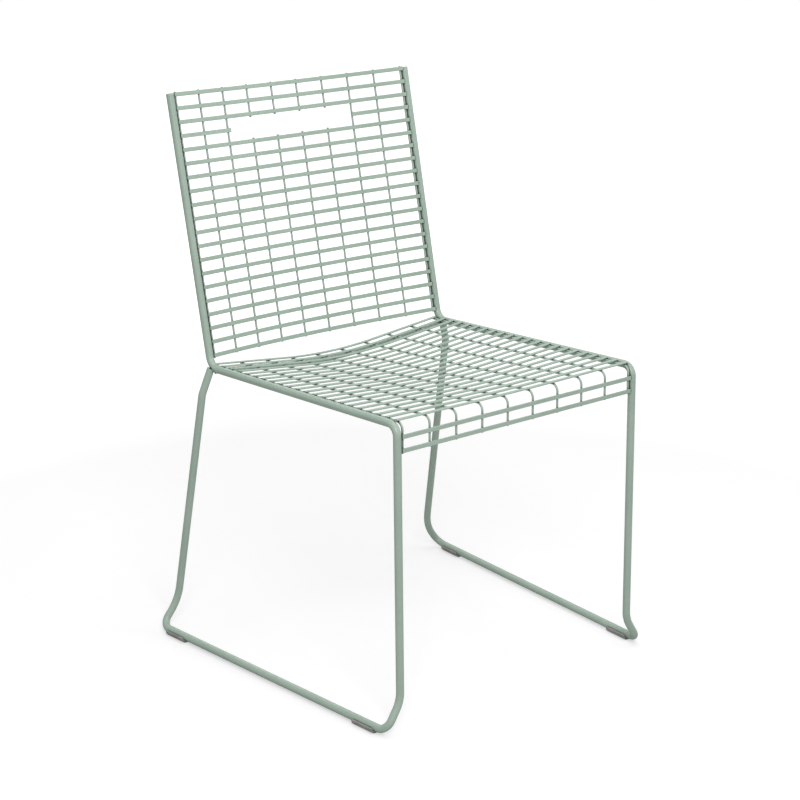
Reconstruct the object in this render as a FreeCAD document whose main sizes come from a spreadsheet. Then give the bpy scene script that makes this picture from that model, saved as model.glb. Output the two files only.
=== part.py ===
import FreeCAD, Part
import math
import os

import Sketcher

# Wire mesh dining chair, in millimetres
# +X is the sitter's left, +Y points to the rear and +Z up.
# The origin lies on the floor, at the middle of the chair's outline.
# Two bent side frames of solid round bar carry a seat mesh and a back mesh.
# Each mesh has flat wires across, sagging between the frames, and thin round
# wires along, welded under the seat wires and behind the back wires.

doc = FreeCAD.newDocument("mesh_chair")
sheet = doc.addObject("Spreadsheet::Sheet", "Dims")

DIMENSIONS = {
    # Side frames
    "bar_diameter": 11.2,
    "frame_width": 434.4,
    "corner_height": 422.6,
    "corner_setback": 164.38,
    "corner_radius": 20.0,
    "rail_length": 428.7,
    "rail_slope": 2.1,
    "upright_length": 399.5,
    "back_lean": 12.0,
    "tip_rounding": 1.5,
    "front_corner_radius": 15.5,
    "front_foot_reach": 3.4,
    "front_foot_spread": 24.9,
    "front_kink_height": 47.4,
    "front_kink_radius": 44.0,
    "front_runner_radius": 17.6,
    "rear_foot_reach": 69.8,
    "rear_foot_spread": 59.5,
    "rear_runner_radius": 15.7,
    "rear_kink_height": 45.7,
    "rear_kink_reach": 66.9,
    "rear_kink_spread": 30.8,
    "rear_kink_radius": 71.0,
    # The bend near the rear leg's top, its height counted down from the corner
    "leg_bend_height": 37.6,
    "leg_bend_reach": 1.4,
    "leg_bend_spread": 16.7,
    "leg_bend_radius": 25.0,
    "leg_top_drop": -0.6,
    "leg_top_reach": -5.0,
    "leg_top_spread": 4.5,
    "leg_splice": 45.0,
    # Glides under the runners
    "glide_length": 40.0,
    "glide_inset": 21.0,
    "glide_thickness": 2.9,
    "glide_gap": 0.1,
    "glide_flat_depth": 0.5,
    # Wires of both meshes
    "flat_wire_width": 6.1,
    "flat_wire_thickness": 2.0,
    "flat_wire_edge_radius": 0.7,
    "long_wire_diameter": 3.2,
    "wire_end_gap": 0.3,
    "weld_gap": 0.05,
    # Long wires: the outermost from the bars' inner faces, the others from the middle
    "edge_wire_inset": 2.935,
    "long_wire_pitch": 46.37,
    # Back mesh, from the seat corner up and from the top down
    "back_wire_pitch": 20.0,
    "back_first_wire": 17.1,
    "back_last_wire": 2.4,
    "back_wire_offset": 3.5,
    "back_sag_top": 24.7,
    "back_sag_bottom": 28.0,
    "back_straight_end": 8.0,
    "back_wire_overhang": 4.0,
    # Stubs at the hand hold: across past their long wires, and up or down past a wire
    "hold_left": 3.925,
    "hold_right": 1.425,
    "hold_stub": 5.0,
    # Seat mesh, from the front corner back and from the rear corner forward
    "seat_wire_pitch": 20.0,
    "seat_first_wire": 7.6,
    "seat_last_wire": 1.1,
    "seat_wire_offset": 4.8,
    "seat_sag_front": 1.9,
    "seat_sag_middle": 12.9,
    "seat_sag_rear": 18.2,
    "seat_straight_end": 125.0,
    "seat_wire_overhang": 5.0,
    # Turned-down front edge of the seat mesh
    "apron_wire_pitch": 19.2,
    "apron_first_drop": 16.4,
    "apron_wire_reach": 3.2,
    "apron_bend_radius": 10.0,
    "apron_overhang": 4.4,
    # Bar between the leg tops
    "cross_bar_diameter": 8.0,
    "cross_bar_setback": 9.0,
    "cross_bar_gap": 0.25,
    "cross_bar_end_gap": 0.3,
}

APRON_WIRES = 2
LONG_WIRE_PAIRS = 5
# The hand hold cuts the wire under these, between this pair counted from the innermost
WIRES_ABOVE_HOLD = 3
PAIRS_IN_HOLD = 2

for row, (name, size) in enumerate(DIMENSIONS.items(), start=1):
    sheet.set("A%d" % row, name)
    sheet.set("B%d" % row, "%g" % size)
    sheet.setAlias("B%d" % row, name)
doc.recompute()


def dim(name):
    return float(sheet.get(name))


def vec(x, y, z):
    return FreeCAD.Vector(x, y, z)


def even_steps(length, pitch):
    """Whole number of steps that divides a length into steps of about the pitch."""
    return round(length / pitch)


BACK_SPAN = dim("upright_length") - dim("back_first_wire") - dim("back_last_wire")
BACK_STEPS = even_steps(BACK_SPAN, dim("back_wire_pitch"))
BACK_WIRES = BACK_STEPS + 1
HOLD_WIRE = BACK_WIRES - 1 - WIRES_ABOVE_HOLD

SEAT_SPAN = dim("rail_length") - dim("seat_first_wire") - dim("seat_last_wire")
SEAT_STEPS = even_steps(SEAT_SPAN, dim("seat_wire_pitch"))
SEAT_WIRES = SEAT_STEPS + 1


# Points of one side frame, worked out from the sheet

def runner_height():
    return dim("glide_thickness") + dim("glide_gap") + dim("bar_diameter") / 2


def frame_point(side, spread, reach, height):
    x = dim("frame_width") / 2 + spread
    return vec(side * x, dim("corner_setback") + reach, height)


def rail_front(side):
    slope = math.radians(dim("rail_slope"))
    reach = -dim("rail_length") * math.cos(slope)
    rise = dim("rail_length") * math.sin(slope)
    return frame_point(side, 0, reach, dim("corner_height") + rise)


def upright_top(side):
    lean = math.radians(dim("back_lean"))
    reach = dim("upright_length") * math.sin(lean)
    rise = dim("upright_length") * math.cos(lean)
    return frame_point(side, 0, reach, dim("corner_height") + rise)


def front_foot(side):
    front = rail_front(side)
    spread = side * dim("front_foot_spread")
    return vec(front.x + spread, front.y - dim("front_foot_reach"), runner_height())


def rear_foot(side):
    return frame_point(side, dim("rear_foot_spread"), dim("rear_foot_reach"), runner_height())


def front_kink(side):
    front = rail_front(side)
    drop = (front.z - dim("front_kink_height")) / (front.z - runner_height())
    return vec(front.x, front.y - drop * dim("front_foot_reach"), dim("front_kink_height"))


def rear_kink(side):
    return frame_point(side, dim("rear_kink_spread"), dim("rear_kink_reach"), dim("rear_kink_height"))


def leg_bend(side):
    height = dim("corner_height") - dim("leg_bend_height")
    return frame_point(side, dim("leg_bend_spread"), dim("leg_bend_reach"), height)


def leg_top(side):
    height = dim("corner_height") - dim("leg_top_drop")
    return frame_point(side, dim("leg_top_spread"), dim("leg_top_reach"), height)


def bend_arc(before, corner, after, radius):
    """Arc of the given radius, tangent to both runs that meet at the corner."""
    back = (before - corner).normalize()
    ahead = (after - corner).normalize()
    half_angle = back.getAngle(ahead) / 2
    inward = (back + ahead).normalize()
    tangent = radius / math.tan(half_angle)
    middle = corner + inward * (radius / math.sin(half_angle) - radius)
    return Part.Arc(corner + back * tangent, middle, corner + ahead * tangent)


def bent_bar(points, radii, diameter):
    """Round bar swept along straight runs joined by tangent bends."""
    edges = []
    start = points[0]
    for before, corner, after, radius in zip(points, points[1:], points[2:], radii):
        arc = bend_arc(before, corner, after, radius)
        edges.append(Part.LineSegment(start, arc.StartPoint).toShape())
        edges.append(arc.toShape())
        start = arc.EndPoint
    edges.append(Part.LineSegment(start, points[-1]).toShape())
    section = Part.makeCircle(diameter / 2, points[0], points[1] - points[0])
    return Part.Wire(edges).makePipeShell([Part.Wire([section])], True, False)


def rounded_tip(bar, tip, radius):
    """Bar with the rim round its end at the tip rounded over."""
    rims = [e for e in bar.Edges if e.Closed and e.CenterOfMass.distanceToPoint(tip) < radius]
    return bar.makeFillet(radius, rims)


def make_side_frame(label, side):
    """One bar bent into upright, rail, legs and runner, its end welded to its own corner."""
    leg = leg_bend(side) - rear_kink(side)
    splice = leg_bend(side) - leg.normalize() * dim("leg_splice")
    points = [
        upright_top(side),
        frame_point(side, 0, 0, dim("corner_height")),
        rail_front(side),
        front_kink(side),
        front_foot(side),
        rear_foot(side),
        rear_kink(side),
        splice,
    ]
    radii = [
        dim("corner_radius"),
        dim("front_corner_radius"),
        dim("front_kink_radius"),
        dim("front_runner_radius"),
        dim("rear_runner_radius"),
        dim("rear_kink_radius"),
    ]
    diameter = dim("bar_diameter")
    bar = rounded_tip(bent_bar(points, radii, diameter), points[0], dim("tip_rounding"))
    leg_end = bent_bar([splice, leg_bend(side), leg_top(side)], [dim("leg_bend_radius")], diameter)
    frame = doc.addObject("Part::Feature", label)
    frame.Label = label
    frame.Shape = bar.fuse(leg_end).removeSplitter()
    frame.Placement = FreeCAD.Placement()
    return frame


# Bodies drawn in sketches

def origin_feature(body, role):
    return next(f for f in body.Origin.OriginFeatures if f.Role == role)


def new_body(label):
    body = doc.addObject("PartDesign::Body", label)
    body.Label = label
    return body


def new_sketch(body, name, role, offset=None):
    """Sketch on one of the body's own planes, at an offset held by an expression."""
    sketch = body.newObject("Sketcher::SketchObject", name)
    sketch.AttachmentSupport = (origin_feature(body, role), [""])
    sketch.MapMode = "FlatFace"
    if offset:
        sketch.setExpression("AttachmentOffset.Base.z", offset)
    return sketch


def place(body, x, y, z, tilt, axis=vec(1, 0, 0)):
    """Put the body at a point, turned about an axis, by expressions."""
    body.setExpression("Placement.Base.x", x)
    body.setExpression("Placement.Base.y", y)
    body.setExpression("Placement.Base.z", z)
    if tilt:
        body.Placement = FreeCAD.Placement(vec(0, 0, 0), FreeCAD.Rotation(axis, 1))
        body.setExpression("Placement.Rotation.Angle", tilt)


def add_circle(sketch, name, across, up, diameter):
    """Circle whose centre distances and diameter are expressions."""
    centre = vec(evaluate(across), evaluate(up), 0)
    circle = sketch.addGeometry(Part.Circle(centre, vec(0, 0, 1), evaluate(diameter) / 2))
    across_circle = Sketcher.Constraint("Diameter", circle, evaluate(diameter))
    bind(sketch, across_circle, name + "Diameter", diameter)
    hold_point(sketch, name, circle, 3, across, up)
    return circle


def add_flat_wire(sketch, name, across, up):
    """Rounded section of a flat wire, its thickness across and its width up."""
    width, thickness = "Dims.flat_wire_width", "Dims.flat_wire_thickness"
    rounding = "Dims.flat_wire_edge_radius"
    x, y, radius = evaluate(across), evaluate(up), evaluate(rounding)
    half_thick, half_wide = evaluate(thickness) / 2, evaluate(width) / 2
    first = len(sketch.Geometry)
    corners = ((1, -1), (1, 1), (-1, 1), (-1, -1))
    arcs = []
    for turn, (right, above) in enumerate(corners):
        centre = vec(x + right * (half_thick - radius), y + above * (half_wide - radius), 0)
        start = (turn - 1) * math.pi / 2
        circle = Part.Circle(centre, vec(0, 0, 1), radius)
        arcs.append(Part.ArcOfCircle(circle, start, start + math.pi / 2))
    for before, arc in zip(arcs[-1:] + arcs[:-1], arcs):
        sketch.addGeometry([Part.LineSegment(before.EndPoint, arc.StartPoint), arc])
    middle = sketch.addGeometry(Part.Point(vec(x, y, 0)), True)
    for side in range(4):
        line, arc = first + 2 * side, first + 2 * side + 1
        after = first + (2 * side + 2) % 8
        sketch.addConstraint(Sketcher.Constraint("Tangent", line, 2, arc, 1))
        sketch.addConstraint(Sketcher.Constraint("Tangent", arc, 2, after, 1))
        kind = "Horizontal" if side % 2 == 0 else "Vertical"
        sketch.addConstraint(Sketcher.Constraint(kind, line))
        if side:
            sketch.addConstraint(Sketcher.Constraint("Equal", first + 1, arc))
    low, right, high, left = first, first + 2, first + 4, first + 6
    bind(sketch, Sketcher.Constraint("Radius", first + 1, radius), name + "Edge", rounding)
    across_flat = Sketcher.Constraint("DistanceX", left, 1, right, 1, 2 * half_thick)
    bind(sketch, across_flat, name + "Thickness", thickness)
    bind(sketch, Sketcher.Constraint("DistanceY", low, 1, high, 1, 2 * half_wide), name + "Width", width)
    sketch.addConstraint(Sketcher.Constraint("Symmetric", first + 7, 3, first + 3, 3, middle, 1))
    hold_point(sketch, name, middle, 1, across, up)


def add_square_wire(sketch, name, across, up):
    """Section of a flat wire with square edges, its thickness across and its width up."""
    width, thickness = "Dims.flat_wire_width", "Dims.flat_wire_thickness"
    x, y = evaluate(across), evaluate(up)
    half_thick, half_wide = evaluate(thickness) / 2, evaluate(width) / 2
    signs = ((-1, -1), (1, -1), (1, 1), (-1, 1))
    corners = [vec(x + right * half_thick, y + above * half_wide, 0) for right, above in signs]
    for start, end in zip(corners, corners[1:] + corners[:1]):
        sketch.addGeometry(Part.LineSegment(start, end))
    middle = sketch.addGeometry(Part.Point(vec(x, y, 0)), True)
    for line in range(4):
        sketch.addConstraint(Sketcher.Constraint("Coincident", line, 2, (line + 1) % 4, 1))
        kind = "Horizontal" if line % 2 == 0 else "Vertical"
        sketch.addConstraint(Sketcher.Constraint(kind, line))
    across_flat = Sketcher.Constraint("DistanceX", 0, 1, 0, 2, 2 * half_thick)
    bind(sketch, across_flat, name + "Thickness", thickness)
    bind(sketch, Sketcher.Constraint("DistanceY", 1, 1, 1, 2, 2 * half_wide), name + "Width", width)
    sketch.addConstraint(Sketcher.Constraint("Symmetric", 0, 1, 2, 1, middle, 1))
    hold_point(sketch, name, middle, 1, across, up)


def hold_point(sketch, name, geometry, position, across, up):
    """Hold a point on the sketch's axes where a distance is 0, else at an expression."""
    for kind, text in (("DistanceX", across), ("DistanceY", up)):
        if text == "0":
            axis = -2 if kind == "DistanceX" else -1
            sketch.addConstraint(Sketcher.Constraint("PointOnObject", geometry, position, axis))
        else:
            distance = Sketcher.Constraint(kind, -1, 1, geometry, position, evaluate(text))
            bind(sketch, distance, name + kind, text)


def bind(sketch, constraint, name, text):
    """Add a constraint with a name and drive it by an expression."""
    index = sketch.addConstraint(constraint)
    sketch.renameConstraint(index, name)
    sketch.setExpression("Constraints." + name, text)


def evaluate(text):
    """Present value of an expression on the sheet."""
    result = sheet.evalExpression(text.replace("Dims.", ""))
    return float(getattr(result, "Value", result))


HALF_WIDTH = "(Dims.frame_width / 2)"
BAR_RADIUS = "(Dims.bar_diameter / 2)"


def bar_chord(offset):
    """Half width of the bar at the near face of a flat wire at an offset from the bar's line."""
    return "sqrt({0}^2 - ({1} - Dims.flat_wire_thickness / 2)^2)".format(BAR_RADIUS, offset)


def bow_span(sag, straight, bar=BAR_RADIUS):
    """Half length of a bowed wire whose square-cut end stops clear of the bar."""
    corner = "Dims.flat_wire_thickness * {0} / ({1} + {2})".format(sag, HALF_WIDTH, straight)
    return "({0} - {1} - Dims.wire_end_gap - {2})".format(HALF_WIDTH, bar, corner)


def bow_radius(sag, span, straight):
    """Radius of the bowed middle, with a straight end of about the given length."""
    return "(({0}^2 - {1}^2 + {2}^2) / (2 * {2}))".format(span, straight, sag)


def bow_depth(across, sag, straight, bar):
    """Depth of a bowed wire's line below its ends, at a distance from its middle."""
    span = bow_span(sag, straight, bar)
    radius = bow_radius(sag, span, straight)
    share = "({0} / ({1} + {2}))".format(sag, span, straight)
    if evaluate(across) < evaluate(span) - evaluate(straight):
        return "({0} - {1} + sqrt({1}^2 - {2}^2))".format(sag, radius, across)
    return "(({0} - {1}) * 2 * {2} / (1 - {2}^2))".format(span, across, share)


def bow_cosine(across, sag, straight, bar):
    """Cosine of a bowed wire's slope at a distance from its middle."""
    span = bow_span(sag, straight, bar)
    if evaluate(across) < evaluate(span) - evaluate(straight):
        return "sqrt(1 - ({0} / {1})^2)".format(across, bow_radius(sag, span, straight))
    return "cos(2 * atan({0} / ({1} + {2})))".format(sag, span, straight)


def sagging_wire(label, add_section, sag, span, straight):
    """Wire with a bowed middle and straight ends: one half swept, then turned round."""
    body = new_body(label)
    radius = bow_radius(sag, span, straight)
    depth, reach, curve = evaluate(sag), evaluate(span), evaluate(radius)
    turn = 2 * math.atan(depth / (reach + evaluate(straight)))
    circle = Part.Circle(vec(0, depth - curve, 0), vec(0, 0, 1), curve)
    arc = Part.ArcOfCircle(circle, math.pi / 2 - turn, math.pi / 2)
    path = new_sketch(body, label + "_path", "XY_Plane")
    path.addGeometry([arc, Part.LineSegment(arc.StartPoint, vec(reach, 0, 0))])
    path.addConstraint([
        Sketcher.Constraint("Tangent", 0, 1, 1, 1),
        Sketcher.Constraint("PointOnObject", 0, 3, -2),
        Sketcher.Constraint("PointOnObject", 0, 2, -2),
        Sketcher.Constraint("PointOnObject", 1, 2, -1),
    ])
    bind(path, Sketcher.Constraint("DistanceY", -1, 1, 0, 2, depth), "Sag", sag)
    bind(path, Sketcher.Constraint("DistanceX", -1, 1, 1, 2, reach), "Span", span)
    bind(path, Sketcher.Constraint("Radius", 0, curve), "Bow", radius)
    section = new_sketch(body, label + "_section", "YZ_Plane")
    add_section(section, "Wire", sag, "0")
    half = body.newObject("PartDesign::AdditivePipe", label + "_half")
    half.Profile = section
    half.Spine = (path, ["Edge1", "Edge2"])
    whole = body.newObject("PartDesign::PolarPattern", label + "_halves")
    whole.Originals = [half]
    whole.Axis = (origin_feature(body, "Y_Axis"), [""])
    whole.Angle = 360
    whole.Occurrences = 2
    body.Tip = whole
    return body


def mirror_across(body, feature):
    """Repeat the feature on the other side of the chair's middle plane."""
    whole = body.newObject("PartDesign::Mirrored", body.Label + "_pair")
    whole.Originals = [feature]
    whole.MirrorPlane = (origin_feature(body, "YZ_Plane"), [""])
    body.Tip = whole


def pad_both_ways(body, sketch, length):
    pad = body.newObject("PartDesign::Pad", body.Label + "_pad")
    pad.Profile = sketch
    pad.SideType = "Symmetric"
    pad.setExpression("Length", length)
    body.Tip = pad


def column(pair):
    """Distance of a pair of long wires from the middle, counted from the innermost."""
    if pair == LONG_WIRE_PAIRS - 1:
        return "({0} - Dims.bar_diameter / 2 - Dims.edge_wire_inset)".format(HALF_WIDTH)
    return "(%.1f * Dims.long_wire_pitch)" % (pair + 0.5)


WELD_OFFSET = "(Dims.flat_wire_thickness / 2 + Dims.long_wire_diameter / 2 + Dims.weld_gap)"


# Back mesh

BACK_LEAN = "Dims.back_lean * 1 deg"
BACK_STRAIGHT = "Dims.back_straight_end"
BESIDE_UPRIGHT = bar_chord("Dims.back_wire_offset")


def back_distance(index):
    """Distance of a back wire up the back, counted from the bottom one."""
    span = "(Dims.upright_length - Dims.back_first_wire - Dims.back_last_wire)"
    return "(Dims.back_first_wire + {0} * {1} / {2})".format(span, index, BACK_STEPS)


def back_sag(index):
    share = index / BACK_STEPS
    return "(Dims.back_sag_bottom + (Dims.back_sag_top - Dims.back_sag_bottom) * %.6f)" % share


def back_place(body, along, forward, extra_tilt="0 deg"):
    """Place at a distance up the back and a distance in front of the uprights' line."""
    y = "Dims.corner_setback + {0} * sin({2}) - {1} * cos({2})".format(along, forward, BACK_LEAN)
    z = "Dims.corner_height + {0} * cos({2}) + {1} * sin({2})".format(along, forward, BACK_LEAN)
    place(body, "0", y, z, "-{0} + {1}".format(BACK_LEAN, extra_tilt))


def make_back_wire(index):
    label = "back_wire_%02d" % (index + 1)
    sag = back_sag(index)
    span = bow_span(sag, BACK_STRAIGHT, BESIDE_UPRIGHT)
    # The stubs at the hand hold keep square edges, which their cut leaves sound
    add_section = add_square_wire if index == HOLD_WIRE else add_flat_wire
    body = sagging_wire(label, add_section, sag, span, BACK_STRAIGHT)
    back_place(body, back_distance(index), "Dims.back_wire_offset")
    return body


def cut_hand_hold(body):
    """Take the middle out of the wire that would cross the hand hold."""
    sketch = new_sketch(body, body.Label + "_cut", "XY_Plane")
    depth = "Dims.back_sag_bottom + Dims.flat_wire_thickness"
    left_end = "{0} - Dims.hold_left".format(column(PAIRS_IN_HOLD))
    right_end = "{0} - Dims.hold_right".format(column(PAIRS_IN_HOLD))
    left, right, deep = -evaluate(left_end), evaluate(right_end), evaluate(depth)
    corners = [vec(left, -deep, 0), vec(right, -deep, 0), vec(right, deep, 0), vec(left, deep, 0)]
    for start, end in zip(corners, corners[1:] + corners[:1]):
        sketch.addGeometry(Part.LineSegment(start, end))
    for line in range(4):
        sketch.addConstraint(Sketcher.Constraint("Coincident", line, 2, (line + 1) % 4, 1))
        kind = "Horizontal" if line % 2 == 0 else "Vertical"
        sketch.addConstraint(Sketcher.Constraint(kind, line))
    bind(sketch, Sketcher.Constraint("DistanceX", 0, 1, -1, 1, -left), "Left", left_end)
    bind(sketch, Sketcher.Constraint("DistanceX", -1, 1, 0, 2, right), "Right", right_end)
    bind(sketch, Sketcher.Constraint("DistanceY", 0, 1, -1, 1, deep), "Front", depth)
    bind(sketch, Sketcher.Constraint("DistanceY", -1, 1, 2, 1, deep), "Rear", depth)
    pocket = body.newObject("PartDesign::Pocket", body.Label + "_hold")
    pocket.Profile = sketch
    pocket.SideType = "Symmetric"
    pocket.setExpression("Length", "Dims.flat_wire_width * 2")
    body.Tip = pocket


def back_long_forward(pair, index):
    """Place of a long wire's line in front of the uprights' line, at one cross wire."""
    across, sag = column(pair), back_sag(index)
    depth = bow_depth(across, sag, BACK_STRAIGHT, BESIDE_UPRIGHT)
    slope = bow_cosine(across, sag, BACK_STRAIGHT, BESIDE_UPRIGHT)
    offset = "{0} / {1}".format(WELD_OFFSET, slope)
    return "(Dims.back_wire_offset - {0} - {1})".format(depth, offset)


def make_back_long_pair(label, pair, low, high, low_extra, high_extra):
    """Two straight long wires welded behind the cross wires from low to high."""
    body = new_body(label)
    sketch = new_sketch(body, label + "_sections", "XY_Plane")
    add_circle(sketch, "Left", column(pair), "0", "Dims.long_wire_diameter")
    add_circle(sketch, "Right", "-" + column(pair), "0", "Dims.long_wire_diameter")
    pad = body.newObject("PartDesign::Pad", label + "_pad")
    pad.Profile = sketch
    span = "({0} - {1})".format(back_distance(high), back_distance(low))
    pad.setExpression("Length", "{0} + {1} + {2}".format(span, low_extra, high_extra))
    body.Tip = pad
    start, end = back_long_forward(pair, low), back_long_forward(pair, high)
    tilt = "atan(({0} - {1}) / {2})".format(end, start, span)
    back_place(body, "({0} - {1})".format(back_distance(low), low_extra), start, tilt)
    return body


def make_group(label, members):
    group = doc.addObject("Part::Compound", label)
    group.Label = label
    group.Links = members
    return group


def make_back_mesh():
    wires = [make_back_wire(index) for index in range(BACK_WIRES)]
    doc.recompute()
    cut_hand_hold(wires[HOLD_WIRE])
    edge = "Dims.back_wire_overhang"
    stub = "Dims.hold_stub"
    top = BACK_WIRES - 1
    below, above = HOLD_WIRE - 1, HOLD_WIRE + 1
    outer = [
        make_back_long_pair("back_long_wires_" + name, pair, 0, top, edge, edge)
        for name, pair in (("edge", 4), ("outer", 3), ("middle", 2))
    ]
    short = range(PAIRS_IN_HOLD)
    lower = [make_back_long_pair("lower_%d" % pair, pair, 0, below, edge, stub) for pair in short]
    upper = [make_back_long_pair("upper_%d" % pair, pair, above, top, stub, edge) for pair in short]
    groups = [make_group("back_long_wires_inner", lower), make_group("back_long_wires_upper", upper)]
    return wires + outer + groups


# Seat mesh

RAIL_SLOPE = "Dims.rail_slope * 1 deg"
SEAT_STRAIGHT = "Dims.seat_straight_end"
BESIDE_RAIL = bar_chord("Dims.seat_wire_offset")
APRON_Y = "(Dims.corner_setback - Dims.rail_length * cos(%s) - Dims.apron_wire_reach)" % RAIL_SLOPE
FRONT_HEIGHT = "(Dims.corner_height + Dims.rail_length * sin(%s))" % RAIL_SLOPE


def seat_distance(index):
    """Distance of a seat wire from the front corner of the frame, along the rail."""
    span = "(Dims.rail_length - Dims.seat_first_wire - Dims.seat_last_wire)"
    return "(Dims.seat_first_wire + {0} * {1} / {2})".format(span, index, SEAT_STEPS)


def seat_sag(share):
    """Sag at a share of the way from front to rear, through the three stated sags."""
    front = "Dims.seat_sag_front * %.6f" % ((1 - share) * (1 - 2 * share))
    middle = "Dims.seat_sag_middle * %.6f" % (4 * share * (1 - share))
    rear = "Dims.seat_sag_rear * %.6f" % (share * (2 * share - 1))
    return "({0} + {1} + {2})".format(front, middle, rear)


def seat_y(along, above):
    start = "Dims.corner_setback - Dims.rail_length * cos({0})".format(RAIL_SLOPE)
    return "({0} + {1} * cos({3}) + {2} * sin({3}))".format(start, along, above, RAIL_SLOPE)


def seat_z(along, above):
    return "({0} - {1} * sin({3}) + {2} * cos({3}))".format(FRONT_HEIGHT, along, above, RAIL_SLOPE)


def make_seat_wire(index):
    label = "seat_wire_%02d" % (index + 1)
    sag = seat_sag(index / SEAT_STEPS)
    # The last wire lies beside the corner bend, where the bar rises to its level
    beside = BESIDE_RAIL if index < SEAT_STEPS else BAR_RADIUS
    body = sagging_wire(label, add_flat_wire, sag, bow_span(sag, SEAT_STRAIGHT, beside), SEAT_STRAIGHT)
    along, above = seat_distance(index), "Dims.seat_wire_offset"
    place(body, "0", seat_y(along, above), seat_z(along, above), "-90 - Dims.rail_slope")
    return body


def make_apron_wires():
    """Straight wires across the turned-down front edge."""
    body = new_body("front_apron_wires")
    sketch = new_sketch(body, "apron_sections", "YZ_Plane")
    for index in range(APRON_WIRES):
        up = "-%d * Dims.apron_wire_pitch" % index if index else "0"
        add_flat_wire(sketch, "Wire%d" % index, "0", up)
    pad_both_ways(body, sketch, "Dims.frame_width - Dims.bar_diameter - 2 * Dims.wire_end_gap")
    place(body, "0", APRON_Y, "{0} - Dims.apron_first_drop".format(FRONT_HEIGHT), None)
    return body


def seat_long_point(pair, along, share):
    """Point of a long wire's line under the seat, from the start of its lower end."""
    across, sag = column(pair), seat_sag(share)
    depth = bow_depth(across, sag, SEAT_STRAIGHT, BESIDE_RAIL)
    offset = "{0} / {1}".format(WELD_OFFSET, bow_cosine(across, sag, SEAT_STRAIGHT, BESIDE_RAIL))
    above = "(Dims.seat_wire_offset - {0} - {1})".format(depth, offset)
    y = "{0} - {1} - {2}".format(seat_y(along, above), APRON_Y, WELD_OFFSET)
    z = "{0} - {1} + {2}".format(seat_z(along, above), FRONT_HEIGHT, APRON_DEPTH)
    return y, z


APRON_SPAN = "%d * Dims.apron_wire_pitch" % (APRON_WIRES - 1)
APRON_DEPTH = "(Dims.apron_first_drop + %s + Dims.apron_overhang)" % APRON_SPAN


def pin_point(sketch, name, geometry, position, y, z):
    """Hold one point of the sketch at expressions for its two distances."""
    bind(sketch, Sketcher.Constraint("DistanceX", -1, 1, geometry, position, evaluate(y)), name + "Y", y)
    bind(sketch, Sketcher.Constraint("DistanceY", -1, 1, geometry, position, evaluate(z)), name + "Z", z)


def long_wire_path(body, pair):
    """Path up behind the apron wires, round the front bend and back under the seat."""
    first, last = seat_distance(0), seat_distance(SEAT_WIRES - 1)
    ends = [
        seat_long_point(pair, first, 0),
        seat_long_point(pair, "(({0} + {1}) / 2)".format(first, last), 0.5),
        seat_long_point(pair, "({0} + Dims.seat_wire_overhang)".format(last), 1),
    ]
    start, middle, end = [vec(evaluate(y), evaluate(z), 0) for y, z in ends]
    radius = dim("apron_bend_radius")
    path = new_sketch(body, body.Label + "_path", "YZ_Plane", column(pair))
    bowed = pair < LONG_WIRE_PAIRS - 1
    if bowed:
        run = Part.ArcOfCircle(start, middle, end)
        far, curve = run.Center, run.Radius
        drop = math.sqrt((curve + radius) ** 2 - (radius - far.x) ** 2)
        hub = vec(radius, far.y - drop, 0)
        touch = hub + (far - hub).normalize() * radius
        run = Part.ArcOfCircle(touch, middle, end)
    else:
        run = Part.LineSegment(start, end)
        turn = math.atan2(end.y - start.y, end.x - start.x)
        normal = vec(-math.sin(turn), math.cos(turn), 0)
        hub = vec(radius, start.y + (radius - start.x) * math.tan(turn) - radius / math.cos(turn), 0)
        touch = hub + normal * radius
        run = Part.LineSegment(touch, end)
    mid_angle = (math.pi + math.atan2(touch.y - hub.y, touch.x - hub.x)) / 2
    middle_of_bend = hub + vec(math.cos(mid_angle), math.sin(mid_angle), 0) * radius
    low = vec(0, hub.y, 0)
    path.addGeometry([
        Part.LineSegment(vec(0, 0, 0), low),
        Part.ArcOfCircle(low, middle_of_bend, touch),
        run,
        Part.Point(start),
    ], False)
    path.toggleConstruction(3)
    # The bend's arc runs against the clock from its touch point to its low point
    path.addConstraint([
        Sketcher.Constraint("Coincident", 0, 1, -1, 1),
        Sketcher.Constraint("Vertical", 0),
        Sketcher.Constraint("Tangent", 0, 2, 1, 2),
        Sketcher.Constraint("Tangent", 1, 1, 2, 1),
        Sketcher.Constraint("PointOnObject", 3, 1, 2),
    ])
    bind(path, Sketcher.Constraint("Radius", 1, radius), "Bend", "Dims.apron_bend_radius")
    pin_point(path, "First", 3, 1, *ends[0])
    pin_point(path, "Last", 2, 2, *ends[2])
    if bowed:
        path.addGeometry(Part.Point(middle), True)
        pin_point(path, "Middle", 4, 1, *ends[1])
        path.addConstraint(Sketcher.Constraint("PointOnObject", 4, 1, 2))
    return path


def make_seat_long_pair(name, pair):
    """Two long wires welded under the seat wires and behind the apron wires."""
    label = "seat_long_wires_" + name
    body = new_body(label)
    path = long_wire_path(body, pair)
    section = new_sketch(body, label + "_section", "XY_Plane")
    add_circle(section, "Wire", column(pair), "0", "Dims.long_wire_diameter")
    left = body.newObject("PartDesign::AdditivePipe", label + "_left")
    left.Profile = section
    left.Spine = (path, ["Edge1", "Edge2", "Edge3"])
    mirror_across(body, left)
    y = "{0} + {1}".format(APRON_Y, WELD_OFFSET)
    z = "{0} - {1}".format(FRONT_HEIGHT, APRON_DEPTH)
    place(body, "0", y, z, None)
    return body


def make_seat_mesh():
    wires = [make_seat_wire(index) for index in range(SEAT_WIRES)]
    names = ["centre", "inner", "middle", "outer", "edge"]
    longs = [make_seat_long_pair(name, pair) for pair, name in enumerate(names)]
    return wires + [make_apron_wires()] + longs


# Bar between the leg tops, and the glides under the runners

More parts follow.
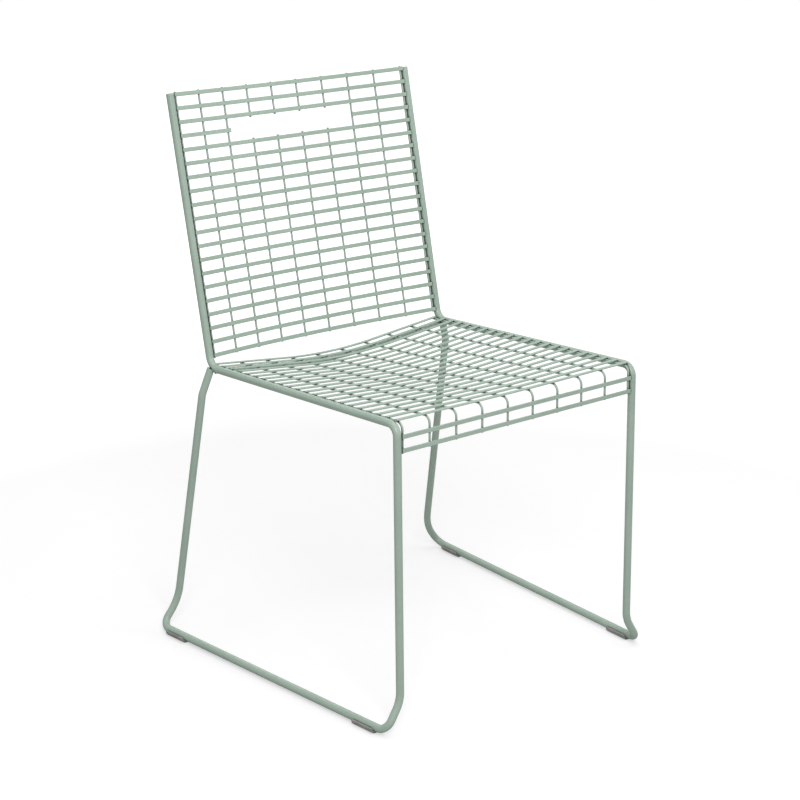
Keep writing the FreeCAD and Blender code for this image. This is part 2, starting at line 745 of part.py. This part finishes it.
def add_cross_bar_circle(sketch, name, across, up):
    add_circle(sketch, name, across, up, "Dims.cross_bar_diameter")


def make_cross_bar():
    """Round bar bowed like the seat, under its long wires, from leg top to leg top."""
    near = "(Dims.flat_wire_thickness / 2 + Dims.long_wire_diameter + Dims.cross_bar_gap)"
    above = "(Dims.seat_wire_offset - {0} - Dims.cross_bar_diameter / 2)".format(near)
    along = "(Dims.rail_length - Dims.cross_bar_setback)"
    height = seat_z(along, above)
    top = "(Dims.corner_height - Dims.leg_top_drop)"
    share = "(({0} - {1}) / (Dims.leg_bend_height - Dims.leg_top_drop))".format(top, height)
    spread = "(Dims.leg_top_spread + (Dims.leg_bend_spread - Dims.leg_top_spread) * {0})".format(share)
    sag = "Dims.seat_sag_rear"
    corner = "Dims.cross_bar_diameter * {0} / ({1} + {2})".format(sag, HALF_WIDTH, SEAT_STRAIGHT)
    clear = "(Dims.bar_diameter / 2 + Dims.cross_bar_end_gap)"
    span = "({0} + {1} - {2} - {3})".format(HALF_WIDTH, spread, clear, corner)
    body = sagging_wire("rear_cross_bar", add_cross_bar_circle, sag, span, SEAT_STRAIGHT)
    place(body, "0", seat_y(along, above), height, "-90 - Dims.rail_slope")
    return body


def glide_section(body):
    """Half shell under the bar, cut flat where it stands on the floor."""
    inner = dim("bar_diameter") / 2 + dim("glide_gap")
    flat = inner + dim("glide_thickness")
    outer = flat + dim("glide_flat_depth")
    edge = math.acos(flat / outer)
    centre, normal, down = vec(0, 0, 0), vec(0, 0, 1), 1.5 * math.pi
    sketch = new_sketch(body, body.Label + "_section", "XZ_Plane")
    outer_circle = Part.Circle(centre, normal, outer)
    left = Part.ArcOfCircle(outer_circle, math.pi, down - edge)
    right = Part.ArcOfCircle(outer_circle, down + edge, 2 * math.pi)
    shell = Part.ArcOfCircle(Part.Circle(centre, normal, inner), math.pi, 2 * math.pi)
    sketch.addGeometry([
        left,
        Part.LineSegment(left.EndPoint, right.StartPoint),
        right,
        Part.LineSegment(right.EndPoint, shell.EndPoint),
        shell,
        Part.LineSegment(shell.StartPoint, left.StartPoint),
    ])
    sketch.addConstraint([
        Sketcher.Constraint("Coincident", 0, 3, -1, 1),
        Sketcher.Constraint("Coincident", 2, 3, -1, 1),
        Sketcher.Constraint("Coincident", 4, 3, -1, 1),
        Sketcher.Constraint("Coincident", 0, 2, 1, 1),
        Sketcher.Constraint("Coincident", 1, 2, 2, 1),
        Sketcher.Constraint("Coincident", 2, 2, 3, 1),
        Sketcher.Constraint("Coincident", 3, 2, 4, 2),
        Sketcher.Constraint("Coincident", 4, 1, 5, 1),
        Sketcher.Constraint("Coincident", 5, 2, 0, 1),
        Sketcher.Constraint("Horizontal", 1),
        Sketcher.Constraint("Horizontal", 3),
        Sketcher.Constraint("Horizontal", 5),
        Sketcher.Constraint("Equal", 0, 2),
        Sketcher.Constraint("PointOnObject", 0, 1, -1),
        Sketcher.Constraint("PointOnObject", 2, 2, -1),
    ])
    inside = "Dims.bar_diameter / 2 + Dims.glide_gap"
    bind(sketch, Sketcher.Constraint("Radius", 4, inner), "Inside", inside)
    under = inside + " + Dims.glide_thickness"
    bind(sketch, Sketcher.Constraint("Radius", 0, outer), "Outside", under + " + Dims.glide_flat_depth")
    bind(sketch, Sketcher.Constraint("DistanceY", 1, 1, -1, 1, flat), "Flat", under)
    return sketch


def make_glide(end, side_name, side):
    """Plastic glide clipped under the runner, near its front or rear bend."""
    body = new_body("%s_%s_glide" % (end, side_name))
    sketch = glide_section(body)
    pad = body.newObject("PartDesign::Pad", body.Label + "_pad")
    pad.Profile = sketch
    pad.setExpression("Length", "Dims.glide_length")
    body.Tip = pad
    front_y = "({0} + Dims.apron_wire_reach - Dims.front_foot_reach)".format(APRON_Y)
    rear_y = "(Dims.corner_setback + Dims.rear_foot_reach)"
    widening = "(Dims.rear_foot_spread - Dims.front_foot_spread)"
    run = "sqrt(({0} - {1})^2 + {2}^2)".format(rear_y, front_y, widening)
    distance = "Dims.glide_inset + Dims.glide_length" if end == "front" else run + " - Dims.glide_inset"
    share = "(({0}) / {1})".format(distance, run)
    x = "{0} * ({1} + Dims.front_foot_spread + {2} * {3})".format(side, HALF_WIDTH, widening, share)
    y = "{0} + ({1} - {0}) * {2}".format(front_y, rear_y, share)
    z = "Dims.glide_thickness + Dims.glide_gap + Dims.bar_diameter / 2"
    turn = "{0} * atan({1} / ({2} - {3}))".format(-side, widening, rear_y, front_y)
    place(body, x, y, z, turn, vec(0, 0, 1))
    return body


def make_glides():
    sides = (("right", -1), ("left", 1))
    return [make_glide(end, name, side) for end in ("front", "rear") for name, side in sides]


def check_and_export(subparts):
    failed = [item for item in doc.Objects if "Invalid" in item.State or "Error" in item.State]
    if failed:
        notes = ["%s: %s" % (item.Name, item.getStatusString()[:80]) for item in failed]
        raise RuntimeError("failed objects: " + "; ".join(notes))
    for subpart in subparts:
        if subpart.Shape.isNull() or not subpart.Shape.isValid():
            raise RuntimeError("%s has no valid shape" % subpart.Label)
    os.makedirs("parts", exist_ok=True)
    for subpart in subparts:
        subpart.Shape.exportStep("parts/%s.step" % subpart.Label)
    outline = Part.makeCompound([subpart.Shape for subpart in subparts]).BoundBox
    print(len(subparts), "sub-parts,", sum(len(s.Shape.Solids) for s in subparts), "solids")
    print("outline", outline)


subparts = [make_side_frame("right_side_frame", -1), make_side_frame("left_side_frame", 1)]
subparts += [make_cross_bar()] + make_glides() + make_back_mesh() + make_seat_mesh()
doc.recompute()
check_and_export(subparts)
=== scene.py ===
import bpy
import bmesh
import math
import random
from mathutils import Matrix, Vector


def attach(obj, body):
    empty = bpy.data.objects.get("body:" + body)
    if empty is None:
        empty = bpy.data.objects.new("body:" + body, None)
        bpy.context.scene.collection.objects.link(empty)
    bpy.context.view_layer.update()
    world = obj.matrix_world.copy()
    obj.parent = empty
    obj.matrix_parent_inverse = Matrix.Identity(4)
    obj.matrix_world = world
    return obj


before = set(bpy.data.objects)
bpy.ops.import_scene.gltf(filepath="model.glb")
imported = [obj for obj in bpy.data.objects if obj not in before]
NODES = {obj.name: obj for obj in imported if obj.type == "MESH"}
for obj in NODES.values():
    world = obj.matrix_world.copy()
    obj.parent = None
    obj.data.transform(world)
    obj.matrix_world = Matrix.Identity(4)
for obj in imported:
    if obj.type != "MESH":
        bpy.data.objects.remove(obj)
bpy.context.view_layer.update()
BODY = "root"
WHITE = (1.0, 1.0, 1.0, 1.0)


def add_object(name, data):
    thing = bpy.data.objects.new(name, data)
    bpy.context.scene.collection.objects.link(thing)
    return thing


# Camera, in metres and pixels, fitted to the photograph's 800 by 800 frame

PICTURE_SIDE = 800.0
SENSOR_WIDTH = 36.0
FOCAL_PIXELS = 1998.76
OPTICAL_CENTRE = (399.94, 405.15)
CAMERA_AT = Vector((-1.7791, -2.18217, 1.2282))
CAMERA_AZIMUTH = math.radians(-39.26)
CAMERA_ELEVATION = math.radians(17.14)
CAMERA_ROLL = math.radians(-0.32)
FARTHEST_SEEN = 50.0


def add_camera():
    """Camera turned to its azimuth and elevation, then rolled about its own line of sight."""
    data = bpy.data.cameras.new("camera")
    data.sensor_width = SENSOR_WIDTH
    data.lens = FOCAL_PIXELS / PICTURE_SIDE * SENSOR_WIDTH
    middle = (PICTURE_SIDE - 1) / 2
    data.shift_x = (middle - OPTICAL_CENTRE[0]) / PICTURE_SIDE
    data.shift_y = (OPTICAL_CENTRE[1] - middle) / PICTURE_SIDE
    data.clip_end = FARTHEST_SEEN
    level = math.cos(CAMERA_ELEVATION)
    back = Vector((
        math.sin(CAMERA_AZIMUTH) * level,
        -math.cos(CAMERA_AZIMUTH) * level,
        math.sin(CAMERA_ELEVATION),
    ))
    right = Vector((math.cos(CAMERA_AZIMUTH), math.sin(CAMERA_AZIMUTH), 0.0))
    above = back.cross(right)
    turned_right = right * math.cos(CAMERA_ROLL) + above * math.sin(CAMERA_ROLL)
    turned_above = above * math.cos(CAMERA_ROLL) - right * math.sin(CAMERA_ROLL)
    turn = Matrix((turned_right, turned_above, back)).transposed()
    camera = add_object("camera", data)
    camera.matrix_world = Matrix.Translation(CAMERA_AT) @ turn.to_4x4()
    bpy.context.scene.camera = camera


# Helpers for the materials

def new_material(name):
    material = bpy.data.materials.new(name)
    material.use_nodes = True
    tree = material.node_tree
    shader = tree.nodes["Principled BSDF"]
    return material, tree, shader


def set_inputs(node, values):
    for name, value in values.items():
        node.inputs[name].default_value = value


def object_place(tree):
    """Place in the object's own coordinates, in metres."""
    return tree.nodes.new("ShaderNodeTexCoord").outputs["Object"]


def add_noise(tree, scale, detail, roughness=0.5):
    """Noise over the object's own coordinates, in cycles per metre."""
    noise = tree.nodes.new("ShaderNodeTexNoise")
    set_inputs(noise, {"Scale": scale, "Detail": detail, "Roughness": roughness})
    tree.links.new(object_place(tree), noise.inputs["Vector"])
    return noise.outputs["Fac"]


def add_range(tree, value, low, high, to_low, to_high):
    """Run from to_low to to_high while the value runs from low to high."""
    spread = tree.nodes.new("ShaderNodeMapRange")
    set_inputs(spread, {"From Min": low, "From Max": high, "To Min": to_low, "To Max": to_high})
    tree.links.new(value, spread.inputs["Value"])
    return spread.outputs["Result"]


def add_math(tree, operation, first, second):
    result = tree.nodes.new("ShaderNodeMath")
    result.operation = operation
    tree.links.new(first, result.inputs[0])
    tree.links.new(second, result.inputs[1])
    return result.outputs[0]


def add_mix(tree, factor, first, second):
    """Mix of two colours, each a plain one or the result of another node."""
    mix = tree.nodes.new("ShaderNodeMix")
    mix.data_type = "RGBA"
    colours = [socket for socket in mix.inputs if socket.type == "RGBA"]
    result = [socket for socket in mix.outputs if socket.type == "RGBA"][0]
    tree.links.new(factor, mix.inputs[0])
    for socket, colour in zip(colours, (first, second)):
        if isinstance(colour, bpy.types.NodeSocket):
            tree.links.new(colour, socket)
        else:
            socket.default_value = colour
    return result


def add_layer(tree, below, above, pattern, extent):
    """Colour above laid over the one below, as far as the pattern's range lets it show."""
    return add_mix(tree, add_range(tree, pattern, *extent), below, above)


def add_bump(tree, height, distance, strength, normal=None):
    bump = tree.nodes.new("ShaderNodeBump")
    set_inputs(bump, {"Distance": distance, "Strength": strength})
    tree.links.new(height, bump.inputs["Height"])
    if normal is not None:
        tree.links.new(normal, bump.inputs["Normal"])
    return bump.outputs["Normal"]


# Powder coat: pale sage green, softly glossy, with orange peel and slight mottling.
# Below, a noise is its cycles per metre, its detail and, where it isn't 0.5, its roughness.
# A range is a pattern's low and high, then what they turn into. A bump is its depth in
# metres and its strength.

COAT_MID = (0.345, 0.455, 0.375, 1.0)
COAT_PALE = (0.385, 0.490, 0.410, 1.0)
COAT_DEEP = (0.300, 0.410, 0.335, 1.0)
COAT_WORN = (0.440, 0.520, 0.455, 1.0)
COAT_BROAD_NOISE = (14.0, 3.0)
COAT_FINE_NOISE = (260.0, 4.0)
COAT_PEEL_NOISE = (700.0, 2.0)
COAT_GRAIN_NOISE = (3800.0, 1.0)
COAT_MOTTLE_RANGE = (0.35, 0.65, 0.0, 1.0)
COAT_SPECKLE_RANGE = (0.52, 0.72, 0.0, 0.5)
COAT_WEAR_RANGE = (0.56, 0.72, 0.0, 0.6)
COAT_ROUGHNESS_RANGE = (0.3, 0.7, 0.36, 0.46)
COAT_PEEL_BUMP = (0.00012, 0.35)
COAT_GRAIN_BUMP = (0.00003, 0.25)
COAT_GLOSS = {"IOR": 1.5, "Coat Weight": 0.15, "Coat Roughness": 0.25}

# Painted shade: a dark colour mixed into the coat where ambient occlusion finds wires crossing
# and meeting the bars
COAT_PAINTED_SHADE = (0.035, 0.060, 0.045, 1.0)
PAINTED_SHADE_REACH = 0.008
PAINTED_SHADE_SAMPLES = 8
PAINTED_SHADE_RANGE = (0.46, 0.88, 0.97, 0.0)


def powder_coat():
    material, tree, shader = new_material("sage_powder_coat")
    broad = add_noise(tree, *COAT_BROAD_NOISE)
    fine = add_noise(tree, *COAT_FINE_NOISE)
    peel = add_noise(tree, *COAT_PEEL_NOISE)
    grain = add_noise(tree, *COAT_GRAIN_NOISE)
    edges = tree.nodes.new("ShaderNodeNewGeometry").outputs["Pointiness"]
    occlusion = tree.nodes.new("ShaderNodeAmbientOcclusion")
    occlusion.samples = PAINTED_SHADE_SAMPLES
    occlusion.inputs["Distance"].default_value = PAINTED_SHADE_REACH
    base = add_layer(tree, COAT_MID, COAT_PALE, broad, COAT_MOTTLE_RANGE)
    speckled = add_layer(tree, base, COAT_DEEP, fine, COAT_SPECKLE_RANGE)
    worn = add_layer(tree, speckled, COAT_WORN, edges, COAT_WEAR_RANGE)
    # Painted shade: the coat turns dark green where ambient occlusion finds close wires and
    # bars
    shaded = add_layer(tree, worn, COAT_PAINTED_SHADE, occlusion.outputs["AO"], PAINTED_SHADE_RANGE)
    tree.links.new(shaded, shader.inputs["Base Color"])
    tree.links.new(add_range(tree, fine, *COAT_ROUGHNESS_RANGE), shader.inputs["Roughness"])
    coarse = add_bump(tree, peel, *COAT_PEEL_BUMP)
    relief = add_bump(tree, grain, *COAT_GRAIN_BUMP, normal=coarse)
    tree.links.new(relief, shader.inputs["Normal"])
    set_inputs(shader, COAT_GLOSS)
    return material


# Glides: grey moulded plastic, scuffed where they rub the floor

GLIDE_GREY = (0.255, 0.250, 0.240, 1.0)
GLIDE_PALE = (0.330, 0.325, 0.315, 1.0)
GLIDE_SCUFF = (0.430, 0.425, 0.410, 1.0)
GLIDE_BROAD_NOISE = (90.0, 3.0)
GLIDE_FINE_NOISE = (900.0, 4.0, 0.65)
GLIDE_GRAIN_NOISE = (2600.0, 2.0)
GLIDE_MOTTLE_RANGE = (0.35, 0.65, 0.0, 1.0)
GLIDE_ROUGHNESS_RANGE = (0.3, 0.7, 0.42, 0.58)
GLIDE_GRAIN_BUMP = (0.00005, 0.3)
GLIDE_DEPTH = {"Subsurface Weight": 0.08, "Subsurface Scale": 0.002}
SCUFF_HEIGHT = 0.0016
SCUFF_RISE_RANGE = (SCUFF_HEIGHT, 0.0, 0.0, 1.0)
SCUFF_PATCH_RANGE = (0.42, 0.58, 0.0, 0.8)


def glide_plastic():
    material, tree, shader = new_material("grey_glide_plastic")
    broad = add_noise(tree, *GLIDE_BROAD_NOISE)
    fine = add_noise(tree, *GLIDE_FINE_NOISE)
    grain = add_noise(tree, *GLIDE_GRAIN_NOISE)
    parts = tree.nodes.new("ShaderNodeSeparateXYZ")
    tree.links.new(object_place(tree), parts.inputs[0])
    low = add_range(tree, parts.outputs["Z"], *SCUFF_RISE_RANGE)
    rubbed = add_math(tree, "MULTIPLY", low, add_range(tree, fine, *SCUFF_PATCH_RANGE))
    base = add_layer(tree, GLIDE_GREY, GLIDE_PALE, broad, GLIDE_MOTTLE_RANGE)
    tree.links.new(add_mix(tree, rubbed, base, GLIDE_SCUFF), shader.inputs["Base Color"])
    tree.links.new(add_range(tree, fine, *GLIDE_ROUGHNESS_RANGE), shader.inputs["Roughness"])
    tree.links.new(add_bump(tree, grain, *GLIDE_GRAIN_BUMP), shader.inputs["Normal"])
    set_inputs(shader, GLIDE_DEPTH)
    return material


def dress_nodes(coat, plastic):
    """Plastic on the glides and powder coat on everything else."""
    for name, node in NODES.items():
        material = plastic if name.endswith("_glide") else coat
        node.data.materials.clear()
        node.data.materials.append(material)
        for polygon in node.data.polygons:
            polygon.material_index = 0


# The stubs beside the hand hold have square edges, which are softened by this many metres

SOFT_EDGE = 0.0005
SOFT_EDGE_STEPS = 2
STUBS = "back_wire_17"


def soften_stubs():
    soften = NODES[STUBS].modifiers.new("soft_edges", "BEVEL")
    soften.width = SOFT_EDGE
    soften.segments = SOFT_EDGE_STEPS


# Weld fillets, in metres, one between each flat wire's end and the bar beside it

FILLET_LENGTH = 0.0030
FILLET_WIDTH = 0.0052
FILLET_DEPTH = 0.0024
FILLET_FULLNESS = 0.4
FILLET_UNEVENNESS = 0.05
FILLET_DROP = 0.0009
FILLET_REACH = 0.0005
# A ring stands at each division between these parts of the length, with this many points
FILLET_PARTS = 7
FILLET_STEPS = 14
# A wire's end face is what lies this close to its farthest point
END_FACE_SLACK = 0.0004

# The seat rails fall towards the rear, and the back leans to the rear
RAIL_FALL = math.radians(2.1)
BACK_LEAN = math.radians(12.0)
RAIL_ALONG = Vector((0.0, math.cos(RAIL_FALL), -math.sin(RAIL_FALL)))
BACK_ALONG = Vector((0.0, math.sin(BACK_LEAN), math.cos(BACK_LEAN)))


def wire_ends(node):
    """Middle of each end face of a flat wire, the sitter's left one first."""
    points = [vertex.co for vertex in node.data.vertices]
    for side in (1, -1):
        reach = max(point.x * side for point in points)
        face = [point for point in points if point.x * side > reach - END_FACE_SLACK]
        yield side, sum(face, Vector()) / len(face)


def add_fillet(shape, centre, side, along, chance):
    """Squat irregular lump whose rings run from the wire's end into the bar."""
    outward = Vector((side, 0.0, 0.0))
    across = outward.cross(along).normalized()
    rings = []
    for row in range(1, FILLET_PARTS):
        share = 2.0 * row / FILLET_PARTS - 1.0
        size = (1.0 - share * share) ** FILLET_FULLNESS
        ring = []
        for step in range(FILLET_STEPS):
            turn = 2.0 * math.pi * step / FILLET_STEPS
            lump = size * (1.0 + chance.uniform(-FILLET_UNEVENNESS, FILLET_UNEVENNESS))
            offset = outward * (share * FILLET_LENGTH / 2)
            offset += along * (math.cos(turn) * lump * FILLET_WIDTH / 2)
            offset += across * (math.sin(turn) * lump * FILLET_DEPTH / 2)
            ring.append(shape.verts.new(centre + offset))
        rings.append(ring)
    for first, second in zip(rings, rings[1:]):
        for step in range(FILLET_STEPS):
            after = (step + 1) % FILLET_STEPS
            shape.faces.new((first[step], first[after], second[after], second[step]))
    for ring in (rings[0], rings[-1]):
        shape.faces.new(ring)


def add_welds(name, nodes, along, toward_bar, coat):
    """One piece that holds the fillets at both ends of the given wires."""
    shape = bmesh.new()
    chance = random.Random(name)
    for node in nodes:
        for side, centre in wire_ends(node):
            spot = centre + Vector((side * FILLET_REACH, 0.0, 0.0)) + toward_bar * FILLET_DROP
            add_fillet(shape, spot, side, along, chance)
    bmesh.ops.recalc_face_normals(shape, faces=shape.faces)
    mesh = bpy.data.meshes.new(name)
    shape.to_mesh(mesh)
    shape.free()
    for polygon in mesh.polygons:
        polygon.use_smooth = True
    mesh.materials.append(coat)
    welds = add_object(name, mesh)
    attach(welds, BODY)


def nodes_named(start):
    return [node for name, node in NODES.items() if name.startswith(start)]


def weld_mesh(coat):
    """Fillets under the seat wires' ends and behind the back wires' ends."""
    down = Vector((0.0, -RAIL_ALONG.z, -RAIL_ALONG.y))
    rearward = Vector((0.0, BACK_ALONG.z, -BACK_ALONG.y))
    add_welds("seat_end_welds", nodes_named("seat_wire_"), RAIL_ALONG, down, coat)
    add_welds("back_end_welds", nodes_named("back_wire_"), BACK_ALONG, rearward, coat)


# Stage: pale floor that shows white, and a plain world

WORLD_LIGHT = 0.34
FLOOR_SIZE = 14.0
FLOOR_FINISH = {
    "Base Color": (0.60, 0.60, 0.60, 1.0),
    "Roughness": 0.9,
    "Specular IOR Level": 0.0,
}
FLOOR_LIFT = 0.50
# Distances from the chair between which the lift grows to full white
FLOOR_LIFT_RANGE = (1.0, 2.5, FLOOR_LIFT, 1.0)


def add_world():
    """Plain light, shown as full white to the camera and in reflections."""
    world = bpy.data.worlds.new("studio")
    world.use_nodes = True
    tree = world.node_tree
    light = tree.nodes["Background"]
    set_inputs(light, {"Color": WHITE, "Strength": WORLD_LIGHT})
    white = tree.nodes.new("ShaderNodeBackground")
    set_inputs(white, {"Color": WHITE, "Strength": 1.0})
    path = tree.nodes.new("ShaderNodeLightPath")
    seen = path.outputs["Is Camera Ray"]
    for name in ("Is Glossy Ray", "Is Transmission Ray"):
        seen = add_math(tree, "MAXIMUM", seen, path.outputs[name])
    mix = tree.nodes.new("ShaderNodeMixShader")
    tree.links.new(seen, mix.inputs[0])
    tree.links.new(light.outputs[0], mix.inputs[1])
    tree.links.new(white.outputs[0], mix.inputs[2])
    tree.links.new(mix.outputs[0], tree.nodes["World Output"].inputs["Surface"])
    bpy.context.scene.world = world


def floor_material():
    """Matt floor that is lifted to white for the camera and still takes the chair's shadow."""
    material, tree, shader = new_material("pale_floor")
    set_inputs(shader, FLOOR_FINISH)
    path = tree.nodes.new("ShaderNodeLightPath")
    away = tree.nodes.new("ShaderNodeVectorMath")
    away.operation = "LENGTH"
    tree.links.new(object_place(tree), away.inputs[0])
    strength = add_range(tree, away.outputs["Value"], *FLOOR_LIFT_RANGE)
    amount = add_math(tree, "MULTIPLY", path.outputs["Is Camera Ray"], strength)
    lift = tree.nodes.new("ShaderNodeEmission")
    lift.inputs["Color"].default_value = WHITE
    tree.links.new(amount, lift.inputs["Strength"])
    both = tree.nodes.new("ShaderNodeAddShader")
    tree.links.new(shader.outputs[0], both.inputs[0])
    tree.links.new(lift.outputs[0], both.inputs[1])
    tree.links.new(both.outputs[0], tree.nodes["Material Output"].inputs["Surface"])
    return material


def add_floor():
    mesh = bpy.data.meshes.new("floor")
    half = FLOOR_SIZE / 2
    corners = [(-half, -half, 0), (half, -half, 0), (half, half, 0), (-half, half, 0)]
    mesh.from_pydata(corners, [], [(0, 1, 2, 3)])
    mesh.materials.append(floor_material())
    floor = add_object("floor", mesh)


# Lamps: name, place and side of the square in metres, and power in watts

LAMP_AIM = Vector((0.0, -0.05, 0.45))
LAMPS = (
    ("key", Vector((-1.5, -2.3, 2.4)), 1.3, 54.0),
    ("overhead", Vector((0.2, -0.2, 3.0)), 1.6, 20.0),
    ("fill", Vector((2.6, -1.8, 1.6)), 1.4, 12.0),
    ("back", Vector((0.6, 2.6, 1.8)), 1.6, 13.0),
)


def light_stage():
    """Soft square lamps, all aimed at the seat."""
    for name, place, side, power in LAMPS:
        data = bpy.data.lights.new(name, "AREA")
        data.shape = "SQUARE"
        data.size = side
        data.energy = power
        lamp = add_object(name, data)
        lamp.location = place
        lamp.rotation_euler = (LAMP_AIM - place).to_track_quat("-Z", "Y").to_euler()


add_camera()
add_world()
add_floor()
light_stage()
coat = powder_coat()
dress_nodes(coat, glide_plastic())
weld_mesh(coat)
soften_stubs()

bpy.context.scene.view_settings.view_transform = "Standard"
